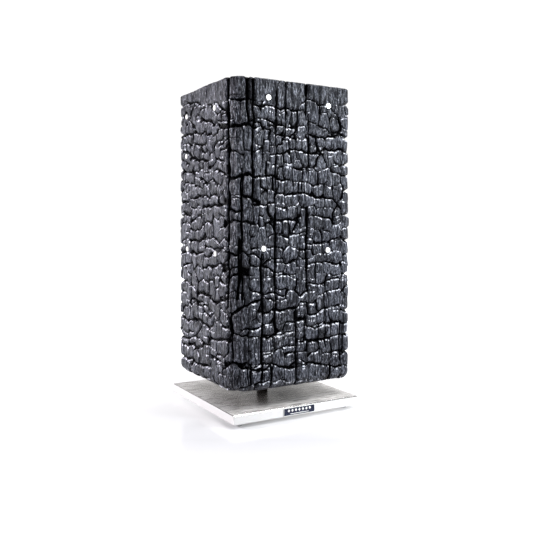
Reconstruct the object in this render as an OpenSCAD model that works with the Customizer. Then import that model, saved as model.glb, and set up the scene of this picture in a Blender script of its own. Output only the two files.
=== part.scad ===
// Swivelling magnetic knife block. A charred timber beam stands on a turned steel
// spindle above a square steel base plate, and turns on a thrust ball bearing.
// Small rod magnets set in its four faces hold the blades.
// Millimetres, +Z up. The origin is the centre of the footprint, on the surface that
// the feet stand on. The badge is on the -Y edge of the base plate.

/* [Charred block] */
// Width of the block, along X
block_w = 154; // [140:1:156]
// Depth of the block, along Y
block_d = 143; // [130:1:152]
// Height of the block
block_h = 334; // [260:1:400]
// Radius of the block's most worn upright corner, at -X -Y
corner_r = 20; // [8:1:24]
// Radius of its three other upright corners
other_corner_r = 9; // [6:1:24]
// Chamfer round the burnt lower edge
bottom_chamfer = 5; // [2:0.5:12]
// Chamfer round the upper edge
top_chamfer = 2; // [1:0.5:6]

/* [Base] */
// Side of the square base plate
plate_side = 160; // [150:1:200]
// Thickness of the base plate
plate_t = 10; // [10:0.5:16]
// Open gap between the base plate and the block
gap_h = 18; // [12:1:40]
// Diameter of a foot
foot_d = 10; // [8:0.5:16]
// Height of a foot
foot_h = 4; // [2:0.5:8]
// Distance of a foot's centre from both edges of the plate
foot_inset = 12; // [9:0.5:25]
// Width of the badge
badge_w = 40; // [24:1:60]
// Height of the badge
badge_h = 8.4; // [6:0.1:9]

/* [Swivel] */
// Diameter of the part of the spindle that shows
spindle_d = 13; // [11:0.5:16]
// Number of balls in the thrust bearing
ball_count = 9; // [6:1:10]

/* [Magnets] */
// Diameter of a rod magnet
magnet_d = 6; // [4:0.5:8]
// Length of a rod magnet
magnet_l = 20; // [10:1:30]
// Height that a magnet stands proud of the wood
magnet_proud = 0.5; // [0.2:0.1:1.5]

/* [Hidden] */
$fn = 64;
eps = 0.5;              // overrun of a cutter past the face that it opens
fit = 0.03;             // radial gap of a running or a light press fit
seat_gap = 0.2;         // radial gap round a piece that only sits in the wood

plate_z = foot_h;
plate_top = plate_z + plate_t;
block_z = plate_top + gap_h;
block_top = block_z + block_h;
plate_corner_r = 1.5;
plate_chamfer = 0.7;

// Spindle and the screw that holds it from below
spindle_recess = 2;     // depth of the spindle's seat in the plate
screw_d = 8;
screw_l = 25;
screw_head_d = 16;
screw_head_h = 4.4;
hex_key = 5;
screw_hole_d = 8.4;
collar_d = 20;
collar_rise = 3;        // from the block's underside up to the collar
collar_t = 4;
collar_z = block_z + collar_rise;

// Thrust ball bearing on the collar: 10 x 24 x 9
journal_d = 10;
bearing_z = collar_z + collar_t;
bearing_od = 24;
bearing_t = 9;
race_t = 2.6;
ball_d = 4.762;
ball_pitch_r = 8.5;
ball_z = bearing_z + bearing_t / 2;
groove_r = ball_d / 2 + 0.04;
cage_t = 2;
cage_id = 10.8;
cage_od = 23.2;
pocket_d = ball_d + 0.24;
upper_race_bore_d = 11;

// Housing that carries the block on the bearing
flange_d = 58;
flange_t = 4;
barrel_d = 34;
mouth_d = 26;
race_seat_depth = 0.4;  // the seat starts this far below the upper race
web_z = bearing_z + bearing_t;
bush_od = 12;
bush_l = 12;
bush_flange_d = 18;
bush_flange_t = 1;
bush_gap = 20;          // relieved length between the two bushes
relief_d = 14;
lower_bush_z = web_z + 1;
upper_bush_z = lower_bush_z + bush_l + bush_gap;
barrel_top = upper_bush_z + bush_l;

// Wood screws that hold the housing in the block
wood_screw_count = 4;
wood_screw_r = 23;      // radius of the circle they lie on
wood_screw_d = 4;
wood_screw_l = 25;
wood_screw_head_d = 8;
wood_screw_head_h = 2.6;
cross_w = 0.9;          // cross recess in the head
cross_l = 4.6;
cross_depth = 1.3;

// Retaining washer and lock nut above the upper bush
axial_play = 0.5;
thread_d = 8;
shoulder_z = barrel_top + bush_flange_t + axial_play;
washer_d = 20;
washer_t = 2;
nut_flats = 13;
nut_h = 8;
thread_l = 11;
spindle_top = shoulder_z + thread_l;
nut_pocket_d = 30;
nut_pocket_clear = 5;   // free height above the spindle's end

magnet_edge = 0.3;      // chamfer of a magnet's ends

// Badge on the plate's front edge
badge_t = 0.8;
badge_rim = 0.7;
badge_relief = 0.3;     // height of the rim and the ornament
lozenge_count = 7;
lozenge_pitch = 4.6;
lozenge_w = 3.2;
lozenge_h = 2.6;

// Magnets of each face: [distance right of the middle, seen from outside, drop below the top]
front_magnets = [[-33.5, 20.5], [45, 22.5], [-39.5, 182], [44, 185]];
left_magnets = [[29, 29], [-46, 28], [-47, 75], [-44, 185], [31, 188]];
back_magnets = [[-34, 24], [42, 21], [-36, 184], [40, 182]];
right_magnets = [[-30, 22], [36, 25], [-32, 186], [38, 183]];
// Each face: [name, turn about Z from the front, distance from the axis, its magnets]
FACES = [
    ["front", 0, block_d / 2, front_magnets],
    ["left", -90, block_w / 2, left_magnets],
    ["back", 180, block_d / 2, back_magnets],
    ["right", 90, block_w / 2, right_magnets],
];
// Each magnet: [node name, turn, distance of its face, sideways place, height]
MAGNETS = [
    for (f = FACES) for (i = [0 : len(f[3]) - 1])
        [str("magnet_", f[0], "_", i + 1), f[1], f[2], f[3][i][0], block_top - f[3][i][1]]
];
// Each foot: [node name, side along X, side along Y]
FEET = [
    ["foot_front_left", -1, -1],
    ["foot_front_right", 1, -1],
    ["foot_back_right", 1, 1],
    ["foot_back_left", -1, 1],
];
WOOD_SCREWS = [for (i = [1 : wood_screw_count]) str("housing_screw_", i)];

// ---- shared shapes ----

// Takes a square corner of side r off, down to a round of radius r.
module corner_cut(side_x, side_y, r, h) {
    difference() {
        translate([-r, -r, 0]) cube([2 * r, 2 * r, h]);
        translate([-side_x * r, -side_y * r, -eps]) cylinder(r = r, h = h + 2 * eps);
    }
}

// Upright prism on z = 0, with its own radius at each upright corner: [-X-Y, +X-Y, +X+Y, -X+Y].
module rounded_prism(w, d, h, radii) {
    sides = [[-1, -1], [1, -1], [1, 1], [-1, 1]];
    difference() {
        translate([-w / 2, -d / 2, 0]) cube([w, d, h]);
        for (i = [0 : 3])
            translate([sides[i][0] * w / 2, sides[i][1] * d / 2, -eps])
                corner_cut(sides[i][0], sides[i][1], radii[i], h + 2 * eps);
    }
}

// Long bar along Y whose section has a chamfer at its lower and its upper edges.
module chamfer_bar(w, h, low, high, length) {
    x = w / 2;
    rotate([90, 0, 0])
        linear_extrude(height = length, center = true)
            polygon([[-x + low, 0], [x - low, 0], [x, low], [x, h - high],
                     [x - high, h], [-x + high, h], [-x, h - high], [-x, low]]);
}

// Rounded prism with chamfered lower and upper edges.
module chamfered_prism(w, d, h, radii, low, high) {
    intersection() {
        rounded_prism(w, d, h, radii);
        chamfer_bar(w, h, low, high, 2 * d);
        rotate([0, 0, 90]) chamfer_bar(d, h, low, high, 2 * w);
    }
}

// Countersunk screw with its head's flat face on z = 0 and its shank up.
module countersunk_screw(d, length, head_d, head_h) {
    cylinder(d1 = head_d, d2 = d, h = head_h);
    translate([0, 0, head_h]) cylinder(d = d, h = length - head_h);
}

module ring(od, id, h) {
    difference() {
        cylinder(d = od, h = h);
        translate([0, 0, -eps]) cylinder(d = id, h = h + 2 * eps);
    }
}

// Bearing race that starts at height z, with the balls' groove in the face towards them.
module race(z, id) {
    difference() {
        translate([0, 0, z]) ring(bearing_od, id, race_t);
        translate([0, 0, ball_z])
            rotate_extrude() translate([ball_pitch_r, 0]) circle(r = groove_r);
    }
}

// Puts its child, which points along +Z, on a block face, pointing out of it.
module on_face(m) {
    rotate([0, 0, m[1]]) translate([m[3], -m[2], m[4]]) rotate([90, 0, 0]) children();
}

module at_wood_screw(i) {
    rotate([0, 0, 45 + i * 360 / wood_screw_count])
        translate([wood_screw_r, 0, block_z]) children();
}

// ---- base: everything that stands still ----

module base_plate() {
    color("gainsboro") difference() {
        translate([0, 0, plate_z])
            chamfered_prism(plate_side, plate_side, plate_t,
                            [for (i = [0 : 3]) plate_corner_r], plate_chamfer, plate_chamfer);
        translate([0, 0, plate_top - spindle_recess])
            cylinder(r = spindle_d / 2 + fit, h = spindle_recess + eps);
        translate([0, 0, plate_z - eps]) cylinder(d = screw_hole_d, h = plate_t);
        translate([0, 0, plate_z]) cylinder(d1 = screw_head_d + 2 * fit, d2 = screw_hole_d, h = screw_head_h);
    }
}

module foot(f) {
    place = plate_side / 2 - foot_inset;
    edge = min(1, foot_h / 4);
    color("whitesmoke") translate([f[1] * place, f[2] * place, 0]) {
        cylinder(d1 = foot_d - 2 * edge, d2 = foot_d, h = edge);
        translate([0, 0, edge]) cylinder(d = foot_d, h = foot_h - edge);
    }
}

module badge() {
    color("midnightblue")
        translate([0, -plate_side / 2, plate_z + plate_t / 2]) rotate([90, 0, 0]) {
            difference() {
                translate([-badge_w / 2, -badge_h / 2, 0]) cube([badge_w, badge_h, badge_t]);
                translate([-badge_w / 2 + badge_rim, -badge_h / 2 + badge_rim, badge_t - badge_relief])
                    cube([badge_w - 2 * badge_rim, badge_h - 2 * badge_rim, badge_relief + eps]);
            }
            for (i = [0 : lozenge_count - 1])
                translate([(i - (lozenge_count - 1) / 2) * lozenge_pitch, 0, badge_t - 2 * badge_relief])
                    linear_extrude(height = 2 * badge_relief)
                        polygon([[-lozenge_w / 2, 0], [0, -lozenge_h / 2],
                                 [lozenge_w / 2, 0], [0, lozenge_h / 2]]);
        }
}

module spindle() {
    foot_z = plate_top - spindle_recess;
    color("dimgray") difference() {
        union() {
            translate([0, 0, foot_z]) cylinder(d = spindle_d, h = collar_z - foot_z);
            translate([0, 0, collar_z]) cylinder(d = collar_d, h = collar_t);
            translate([0, 0, bearing_z]) cylinder(d = journal_d, h = shoulder_z - bearing_z);
            translate([0, 0, shoulder_z]) cylinder(d = thread_d, h = thread_l - 1);
            translate([0, 0, spindle_top - 1]) cylinder(d1 = thread_d, d2 = thread_d - 2, h = 1);
        }
        translate([0, 0, foot_z - eps])
            cylinder(r = screw_d / 2 + fit, h = screw_l - plate_t + spindle_recess + 2 + eps);
    }
}

module spindle_screw() {
    color("silver") difference() {
        translate([0, 0, plate_z]) countersunk_screw(screw_d, screw_l, screw_head_d, screw_head_h);
        translate([0, 0, plate_z - eps])
            cylinder(d = hex_key / cos(30), h = screw_head_h - 1 + eps, $fn = 6);
    }
}

module lower_race() {
    color("lightgray") race(bearing_z, journal_d + 2 * fit);
}

module retaining_washer() {
    color("silver") translate([0, 0, shoulder_z]) ring(washer_d, thread_d + 2 * fit, washer_t);
}

module lock_nut() {
    color("silver") translate([0, 0, shoulder_z + washer_t]) difference() {
        cylinder(d = nut_flats / cos(30), h = nut_h, $fn = 6);
        translate([0, 0, -eps]) cylinder(r = thread_d / 2 + fit, h = nut_h + 2 * eps);
    }
}

// ---- rolling set of the thrust bearing ----

module bearing_cage() {
    color("goldenrod") difference() {
        translate([0, 0, ball_z - cage_t / 2]) ring(cage_od, cage_id, cage_t);
        for (i = [0 : ball_count - 1])
            rotate([0, 0, i * 360 / ball_count])
                translate([ball_pitch_r, 0, ball_z - cage_t]) cylinder(d = pocket_d, h = 2 * cage_t);
    }
}

module bearing_balls() {
    color("lightgray")
        for (i = [0 : ball_count - 1])
            rotate([0, 0, i * 360 / ball_count]) translate([ball_pitch_r, 0, ball_z]) sphere(d = ball_d);
}

// ---- block: everything that turns ----

module upper_race() {
    color("lightgray") race(web_z - race_t, upper_race_bore_d);
}

module swivel_housing() {
    color("darkgray") difference() {
        union() {
            translate([0, 0, block_z]) cylinder(d = flange_d, h = flange_t);
            translate([0, 0, block_z]) cylinder(d = barrel_d, h = barrel_top - block_z);
        }
        translate([0, 0, block_z - eps])
            cylinder(d = mouth_d, h = web_z - race_t - race_seat_depth - block_z + eps);
        translate([0, 0, web_z - race_t - race_seat_depth - eps])
            cylinder(r = bearing_od / 2 + fit, h = race_t + race_seat_depth + eps);
        translate([0, 0, web_z - eps])
            cylinder(r = bush_od / 2 + fit, h = barrel_top - web_z + 2 * eps);
        translate([0, 0, lower_bush_z + bush_l]) cylinder(d = relief_d, h = bush_gap);
        for (i = [0 : wood_screw_count - 1]) at_wood_screw(i) {
            translate([0, 0, -eps]) cylinder(r = wood_screw_d / 2 + seat_gap, h = flange_t + 2 * eps);
            cylinder(d1 = wood_screw_head_d + 2 * fit, d2 = wood_screw_d, h = wood_screw_head_h + fit);
        }
    }
}

module bush(z, flanged) {
    color("peru") difference() {
        union() {
            translate([0, 0, z]) cylinder(d = bush_od, h = bush_l);
            if (flanged)
                translate([0, 0, z + bush_l]) cylinder(d = bush_flange_d, h = bush_flange_t);
        }
        translate([0, 0, z - eps])
            cylinder(r = journal_d / 2 + fit, h = bush_l + bush_flange_t + 2 * eps);
    }
}

module housing_screw(i) {
    color("silver") at_wood_screw(i) difference() {
        union() {
            countersunk_screw(wood_screw_d, wood_screw_l - wood_screw_d,
                              wood_screw_head_d, wood_screw_head_h);
            translate([0, 0, wood_screw_l - wood_screw_d])
                cylinder(d1 = wood_screw_d, d2 = 0.6, h = wood_screw_d);
        }
        for (turn = [0, 90])
            rotate([0, 0, turn]) translate([-cross_l / 2, -cross_w / 2, -eps])
                cube([cross_l, cross_w, cross_depth + eps]);
    }
}

module charred_block() {
    nut_pocket_top = spindle_top + nut_pocket_clear;
    color("darkslategray") difference() {
        translate([0, 0, block_z])
            chamfered_prism(block_w, block_d, block_h,
                            [corner_r, other_corner_r, other_corner_r, other_corner_r],
                            bottom_chamfer, top_chamfer);
        translate([0, 0, block_z - eps]) cylinder(r = flange_d / 2 + seat_gap, h = flange_t + eps);
        translate([0, 0, block_z]) cylinder(r = barrel_d / 2 + seat_gap, h = barrel_top - block_z);
        translate([0, 0, barrel_top - eps])
            cylinder(d = nut_pocket_d, h = nut_pocket_top - barrel_top + eps);
        for (i = [0 : wood_screw_count - 1])
            at_wood_screw(i) cylinder(r = wood_screw_d / 2 + fit, h = wood_screw_l + 1);
        for (m = MAGNETS)
            on_face(m) translate([0, 0, magnet_proud - magnet_l])
                cylinder(r = magnet_d / 2 + fit, h = magnet_l + eps);
    }
}

module magnet(m) {
    end_d = magnet_d - 2 * magnet_edge;
    color("white") on_face(m) translate([0, 0, magnet_proud - magnet_l]) {
        cylinder(d1 = end_d, d2 = magnet_d, h = magnet_edge);
        translate([0, 0, magnet_edge]) cylinder(d = magnet_d, h = magnet_l - 2 * magnet_edge);
        translate([0, 0, magnet_l - magnet_edge]) cylinder(d1 = magnet_d, d2 = end_d, h = magnet_edge);
    }
}

// ---- the nodes ----

base_plate();
badge();
for (f = FEET) foot(f);
spindle();
spindle_screw();
lower_race();
retaining_washer();
lock_nut();
bearing_cage();
bearing_balls();
upper_race();
swivel_housing();
bush(lower_bush_z, false);  // lower_bush
bush(upper_bush_z, true);  // upper_bush
for (i = [0 : wood_screw_count - 1])
    housing_screw(i);
charred_block();
for (m = MAGNETS) magnet(m);
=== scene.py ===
import math

import bpy
import numpy as np
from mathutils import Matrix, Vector


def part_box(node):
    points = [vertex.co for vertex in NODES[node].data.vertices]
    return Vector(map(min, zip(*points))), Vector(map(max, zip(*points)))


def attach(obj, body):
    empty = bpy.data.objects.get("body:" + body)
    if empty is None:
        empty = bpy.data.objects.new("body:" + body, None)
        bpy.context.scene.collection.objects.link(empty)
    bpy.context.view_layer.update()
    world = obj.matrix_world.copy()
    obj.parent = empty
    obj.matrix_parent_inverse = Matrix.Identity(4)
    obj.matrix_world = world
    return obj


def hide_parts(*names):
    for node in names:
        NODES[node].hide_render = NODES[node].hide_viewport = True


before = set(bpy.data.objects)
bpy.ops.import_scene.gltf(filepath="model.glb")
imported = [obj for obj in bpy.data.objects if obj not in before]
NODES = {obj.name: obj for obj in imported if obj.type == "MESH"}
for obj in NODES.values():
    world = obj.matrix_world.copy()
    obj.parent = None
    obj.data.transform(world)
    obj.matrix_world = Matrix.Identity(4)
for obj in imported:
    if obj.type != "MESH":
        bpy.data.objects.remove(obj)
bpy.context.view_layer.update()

MM = 0.001
BLOCK_LOW, BLOCK_HIGH = (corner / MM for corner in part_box("charred_block"))
PLATE_TOP = (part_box("base_plate")[1] / MM).z
HOUSING_LOW, HOUSING_HIGH = (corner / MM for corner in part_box("swivel_housing"))
MAGNETS = sorted(name for name in NODES if name.startswith("magnet_"))
FEET = sorted(name for name in NODES if name.startswith("foot_"))
SEED = 20
HEART = (12.0, -9.0, 0.0)        # the beam's off-centre heart, mm
FINE_RING = 0.0024               # between the fine growth rings, metres

# ---------------- camera, lights, stage

CAMERA_TURN = -30.12            # degrees about the spindle; 0 looks along +Y
CAMERA_REACH = 777.5            # mm from the spindle's axis, level with the ground
CAMERA_RISE = 195.5             # mm above the base plate's top
LENS = 44.2
SHIFT = (0.0082, -0.0783)
AHEAD = (-math.sin(math.radians(CAMERA_TURN)), math.cos(math.radians(CAMERA_TURN)), 0.0)
AMBIENT = 0.12                  # the light from all round, which the camera sees as plain white


def make_camera():
    """The camera looks level, and its shift brings the object into the frame."""
    back = -Vector(AHEAD)
    data = bpy.data.cameras.new("camera")
    data.lens = LENS
    data.sensor_width = 36.0
    data.shift_x, data.shift_y = SHIFT
    camera = bpy.data.objects.new("camera", data)
    camera.location = back * CAMERA_REACH * MM + Vector((0, 0, (PLATE_TOP + CAMERA_RISE) * MM))
    camera.rotation_mode = "QUATERNION"
    camera.rotation_quaternion = (-back).to_track_quat("-Z", "Y")
    bpy.context.scene.collection.objects.link(camera)
    bpy.context.scene.camera = camera


def area_light(name, place, aim, size, power, colour=(1, 1, 1)):
    """A soft box of size (width, height) in metres at place, facing the point aim."""
    data = bpy.data.lights.new(name, "AREA")
    data.shape = "RECTANGLE"
    data.size, data.size_y = size
    data.energy = power
    data.color = colour
    light = bpy.data.objects.new(name, data)
    light.location = place
    light.rotation_mode = "QUATERNION"
    light.rotation_quaternion = (Vector(aim) - Vector(place)).to_track_quat("-Z", "Y")
    bpy.context.scene.collection.objects.link(light)


def make_lights():
    middle = (0, 0, 0.16)
    area_light("top_box", (0.25, -0.3, 1.2), middle, (0.9, 0.6), 24)
    area_light("left_box", (-1.15, 0.43, 0.54), (0, 0, 0.3), (0.35, 0.4), 23.5, (1.0, 0.955, 1.0))
    area_light("front_box", (0.85, -1.05, 0.62), middle, (0.4, 0.45), 19, (0.92, 0.97, 1.0))


def make_world():
    """The camera sees plain white. The object is lit by a dim room with a white sheet behind it."""
    world = bpy.data.worlds.new("studio")
    bpy.context.scene.world = world
    world.use_nodes = True
    s = Nodes(world.node_tree)
    white = (1, 1, 1)
    way = s.node("ShaderNodeTexCoord").outputs["Generated"]
    height = s.node("ShaderNodeSeparateXYZ", {0: way}).outputs["Z"]
    facing = s.span(s.vector("DOT_PRODUCT", way, AHEAD), 0.45, 0.65)
    sheet = s.math("MULTIPLY", facing, s.span(height, 0.45, 0.35))
    lit = s.tree.nodes["Background"]
    s.feed(lit.inputs["Color"], white)
    s.feed(lit.inputs["Strength"], s.span(sheet, 0, 1, AMBIENT, 0.8))
    seen = s.node("ShaderNodeBackground", {"Color": white, "Strength": 1.05}).outputs[0]
    by_camera = s.node("ShaderNodeLightPath").outputs["Is Camera Ray"]
    mixed = s.node("ShaderNodeMixShader", {0: by_camera, 1: lit.outputs[0], 2: seen}).outputs[0]
    s.feed(s.tree.nodes["World Output"].inputs["Surface"], mixed)
    bpy.context.scene.view_settings.view_transform = "Standard"


def make_floor():
    """A pale glossy floor with painted light: it glows more with distance, so that it fades into the
    white, and more behind and beside the object, which lifts its cast shadows there.
    """
    bpy.ops.mesh.primitive_plane_add(size=12)
    floor = bpy.context.object
    floor.name = "floor"
    s = Shader("floor_white")
    place = s.node("ShaderNodeTexCoord").outputs["Object"]
    away = s.vector("LENGTH", place)
    # Painted light: extra glow behind and beside the object, over its cast shadows.
    behind = s.span(s.vector("DOT_PRODUCT", place, AHEAD), -0.14, 0.0, 0.0, 0.42)
    around = s.math("ADD", s.span(away, 0.1, 0.3, 0.03, 0.27), s.span(away, 0.34, 1.6))
    glow = s.math("ADD", around, behind)
    s.set(base_color=(0.46, 0.46, 0.475), roughness=0.13, glow_colour=(1, 1, 1), glow=glow)
    floor.data.materials.append(s.material)


# ---------------- materials

SOCKETS = {
    "base_color": "Base Color", "roughness": "Roughness", "metallic": "Metallic", "normal": "Normal",
    "specular": "Specular IOR Level", "ior": "IOR", "transmission": "Transmission Weight",
    "glow_colour": "Emission Color", "glow": "Emission Strength",
}


class Nodes:
    """A tree of shader nodes, with short names for making them."""

    def __init__(self, tree):
        self.tree = tree

    def feed(self, socket, value):
        """Links a socket to another one or sets it, to three numbers where it is a colour."""
        if isinstance(value, bpy.types.NodeSocket):
            self.tree.links.new(value, socket)
        elif socket.type == "RGBA":
            socket.default_value = (*value, 1.0)
        else:
            socket.default_value = value

    def node(self, kind, links=None, **settings):
        """Adds a node. links maps an input's name or number to a socket or a value."""
        made = self.tree.nodes.new(kind)
        for key, value in settings.items():
            setattr(made, key, value)
        for key, value in (links or {}).items():
            self.feed(made.inputs[key], value)
        return made

    def place(self, scale=(1, 1, 1)):
        """Object coordinates, scaled per axis."""
        coordinates = self.node("ShaderNodeTexCoord").outputs["Object"]
        return self.node("ShaderNodeMapping", {"Vector": coordinates, "Scale": scale}).outputs["Vector"]

    def noise(self, scale, detail, roughness, stretch=(1, 1, 1)):
        """Noise from 0 to 1 with about scale lumps a metre, drawn out along an axis of small stretch."""
        links = {"Vector": self.place(stretch), "Scale": scale, "Detail": detail, "Roughness": roughness}
        return self.node("ShaderNodeTexNoise", links).outputs["Fac"]

    def attribute(self, name):
        return self.node("ShaderNodeAttribute", attribute_name=name).outputs["Fac"]

    def facing_up(self):
        """The upward part of the surface's normal."""
        normal = self.node("ShaderNodeNewGeometry").outputs["Normal"]
        return self.node("ShaderNodeSeparateXYZ", {0: normal}).outputs["Z"]

    def growth_rings(self):
        """Dark rings, from 0 to 1, about the beam's heart."""
        wobble = self.math("MULTIPLY", self.noise(45, 2, 0.5), 0.006)
        radius = self.vector("DISTANCE", self.place((1, 1, 0)), tuple(c * MM for c in HEART))
        turns = self.math("MULTIPLY", self.math("ADD", radius, wobble), math.tau / FINE_RING)
        return self.span(self.math("SINE", turns), 0.2, 0.8, 0.0, 0.8)

    def span(self, value, low, high, to_low=0.0, to_high=1.0):
        """Maps low..high to to_low..to_high, held between them."""
        links = {0: value, 1: low, 2: high, 3: to_low, 4: to_high}
        return self.node("ShaderNodeMapRange", links).outputs[0]

    def math(self, operation, a, b=0.0):
        """One of Blender's sums, for one value or two."""
        return self.node("ShaderNodeMath", {0: a, 1: b}, operation=operation).outputs[0]

    def vector(self, operation, a, b=(0, 0, 0)):
        """One of Blender's vector sums whose result is a number."""
        return self.node("ShaderNodeVectorMath", {0: a, 1: b}, operation=operation).outputs["Value"]

    def ramp(self, value, *stops):
        """Colours along value, as (place, colour) stops."""
        made = self.node("ShaderNodeValToRGB", {"Fac": value})
        elements = made.color_ramp.elements
        while len(elements) < len(stops):
            elements.new(0.5)
        for element, (place, colour) in zip(elements, stops):
            element.position = place
            element.color = (*colour, 1.0)
        return made.outputs["Color"]

    def mix(self, share, a, b):
        """The colour a, with a share of the colour b."""
        return self.node("ShaderNodeMix", {0: share, 6: a, 7: b}, data_type="RGBA").outputs[2]

    def bump(self, height, distance, strength, normal=None):
        """The normal of a relief distance metres high, laid over another normal if there is one."""
        links = {"Height": height, "Distance": distance, "Strength": strength}
        if normal is not None:
            links["Normal"] = normal
        return self.node("ShaderNodeBump", links).outputs["Normal"]


class Shader(Nodes):
    """A material with one Principled shader, and the nodes that feed it."""

    def __init__(self, name):
        self.material = bpy.data.materials.new(name)
        self.material.use_nodes = True
        super().__init__(self.material.node_tree)
        self.principled = self.tree.nodes["Principled BSDF"]

    def set(self, **values):
        """Feeds the Principled shader's sockets, under their names in SOCKETS."""
        for key, value in values.items():
            self.feed(self.principled.inputs[SOCKETS[key]], value)


def char_material():
    """Sealed charcoal: satin scales with an upright grain and ash flecks, painted highlights on the rims,
    black painted shade in the cracks.

    The mesh brings three layers: crack is 0.5 at a crack's wall and more inside it, where it paints black
    shade, ridge is high on rims and ribs, where it paints highlights, and low in grooves, where it paints
    shade, and tone is each scale's own shade. Dark cracks count as metal, because black metal reflects
    next to nothing.
    """
    s = Shader("charred_timber")
    grain = s.noise(800, 2, 0.6, (1, 1, 0.12))
    fleck = s.noise(850, 2, 0.6, (1, 1, 0.4))
    pores = s.noise(1300, 2, 0.6, (1, 1, 0.3))
    blotch = s.noise(26, 3, 0.55)
    crack = s.span(s.attribute("crack"), 0.3, 0.52)
    ridge, tone = s.attribute("ridge"), s.attribute("tone")
    body = s.ramp(blotch, (0.3, (0.008, 0.009, 0.014)), (0.7, (0.015, 0.017, 0.026)))
    toned = s.mix(s.span(tone, 0, 1, 0.0, 0.7), body, (0.05, 0.055, 0.074))
    ashy = s.mix(s.span(fleck, 0.54, 0.62, 0.0, 0.42), toned, (0.33, 0.35, 0.43))
    # Painted highlight: where the ridge layer is high, on ribs and upper rims, the colour turns bluish
    # white.
    lit = s.math("MULTIPLY", s.span(ridge, 0.64, 0.8), s.span(grain, 0.44, 0.52, 0.3, 1.0))
    with_painted_highlight = s.mix(lit, ashy, (0.86, 0.88, 0.98))
    # Dark grain lines, and painted shade in the grooves where the ridge layer is low.
    grain_lines_and_groove_shade = s.math("MAXIMUM", s.span(grain, 0.43, 0.48, 0.9, 0.0), s.span(ridge, 0.2, 0.34, 0.85, 0.0))
    pitted = s.math("MAXIMUM", grain_lines_and_groove_shade, s.span(fleck, 0.38, 0.44, 0.75, 0.0))
    up = s.span(s.facing_up(), 0.7, 0.9)
    line = s.math("MAXIMUM", pitted, s.math("MULTIPLY", up, s.growth_rings()))
    lined = s.mix(line, with_painted_highlight, (0.005, 0.005, 0.006))
    # Painted shade: the cracks, the gaps round the magnets and the top's checks go near black.
    dark = s.mix(crack, lined, (0.0012, 0.0012, 0.0015))
    rough = s.math("MAXIMUM", s.span(grain, 0.35, 0.65, 0.48, 0.28), s.math("MULTIPLY", up, 0.75))
    metal = s.math("MAXIMUM", crack, line)
    fine = s.bump(s.math("ADD", pores, s.math("MULTIPLY", fleck, 2.0)), 0.0003, 0.8)
    relief = s.bump(grain, 0.0012, 1.0, fine)
    s.set(base_color=dark, roughness=rough, metallic=metal, specular=0.42, normal=relief)
    return s.material


def plate_material():
    """Steel brushed along X on top, with painted shade under the block for its shadow and dark reflection
    there, and plain satin edges.
    """
    s = Shader("brushed_steel")
    streak = s.noise(900, 3, 0.6, (0.1, 1, 1))
    wide = s.noise(520, 3, 0.65, (0.1, 1, 1))
    cloud = s.noise(22, 3, 0.55)
    facing = s.facing_up()
    up = s.span(facing, 0.8, 0.95)
    chamfer = s.math("MULTIPLY", s.span(facing, 0.3, 0.4), s.span(facing, 0.8, 0.75))
    bright, dull = (1.0, 0.98, 0.96), (0.36, 0.34, 0.325)
    shade = s.math("MULTIPLY", up, s.span(wide, 0.46, 0.6, 0.0, 0.95))
    tinted = s.mix(shade, s.mix(up, (0.7, 0.69, 0.685), bright), dull)
    toned = s.mix(s.math("MULTIPLY", up, s.span(cloud, 0.35, 0.65, 0.0, 0.3)), tinted, dull)
    # Painted shade: towards the middle, under the block, the top turns warm dark grey, for the block's
    # shadow and dark reflection.
    apart = s.node("ShaderNodeSeparateXYZ", {0: s.place()})
    beside, before = (s.math("ABSOLUTE", apart.outputs[axis]) for axis in "XY")
    from_middle = s.math("MAXIMUM", s.math("MULTIPLY", beside, 0.85), before)
    under = s.span(from_middle, 0.045, 0.068, 0.75, 0.0)
    painted_shade_under_block = s.mix(s.math("MULTIPLY", up, under), toned, (0.15, 0.13, 0.115))
    fine = s.math("MULTIPLY", up, streak)
    metal = s.math("MAXIMUM", chamfer, s.span(up, 0, 1, 0.3, 0.55))
    s.set(base_color=painted_shade_under_block, metallic=metal, normal=s.bump(fine, 0.0003, 0.6),
          roughness=s.span(streak, 0.3, 0.7, 0.14, 0.22))
    return s.material


def turned_material(name, colour, roughness):
    """Metal turned about Z, with fine rings up its height."""
    s = Shader(name)
    rings = (0.02, 0.02, 1.0)
    streak = s.noise(1600, 4, 0.65, rings)
    wide = s.noise(420, 3, 0.6, rings)
    cloud = s.noise(14, 2, 0.5)
    tint = s.mix(s.span(streak, 0.3, 0.7), tuple(c * 0.86 for c in colour), colour)
    toned = s.mix(s.span(wide, 0.4, 0.6, 0.0, 0.4), tint, tuple(c * 0.55 for c in colour))
    rough = s.math("ADD", s.span(streak, 0.3, 0.7, roughness * 0.8, roughness * 1.25),
                   s.span(cloud, 0.3, 0.7, -0.03, 0.03))
    s.set(base_color=toned, metallic=1.0, roughness=rough, normal=s.bump(streak, 0.00002, 0.6))
    return s.material


def hazy_material(name, noise, tint, colours, rough, **more):
    """A plain finish with a faint haze, between two colours and between two roughnesses."""
    s = Shader(name)
    haze = s.noise(*noise)
    s.set(base_color=s.mix(s.span(haze, *tint), *colours), roughness=s.span(haze, 0.3, 0.7, *rough),
          **more)
    return s.material


def polished_material(name, colour, roughness, metallic=1.0):
    worn = tuple(c * 0.93 for c in colour)
    return hazy_material(name, (350, 3, 0.6), (0.35, 0.65), (worn, colour),
                         (roughness, roughness * 1.7), metallic=metallic)


def bumper_material():
    """Clear silicone, a little milky."""
    return hazy_material("clear_silicone", (220, 2, 0.5), (0.3, 0.7),
                         ((0.86, 0.88, 0.9), (0.94, 0.95, 0.96)), (0.2, 0.32), transmission=0.55, ior=1.41)


def enamel_material():
    """Very dark blue enamel."""
    return hazy_material("badge_enamel", (900, 3, 0.6), (0.3, 0.7),
                         ((0.008, 0.011, 0.03), (0.014, 0.018, 0.042)), (0.4, 0.55), specular=0.25)


# ---------------- the block's outline

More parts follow.
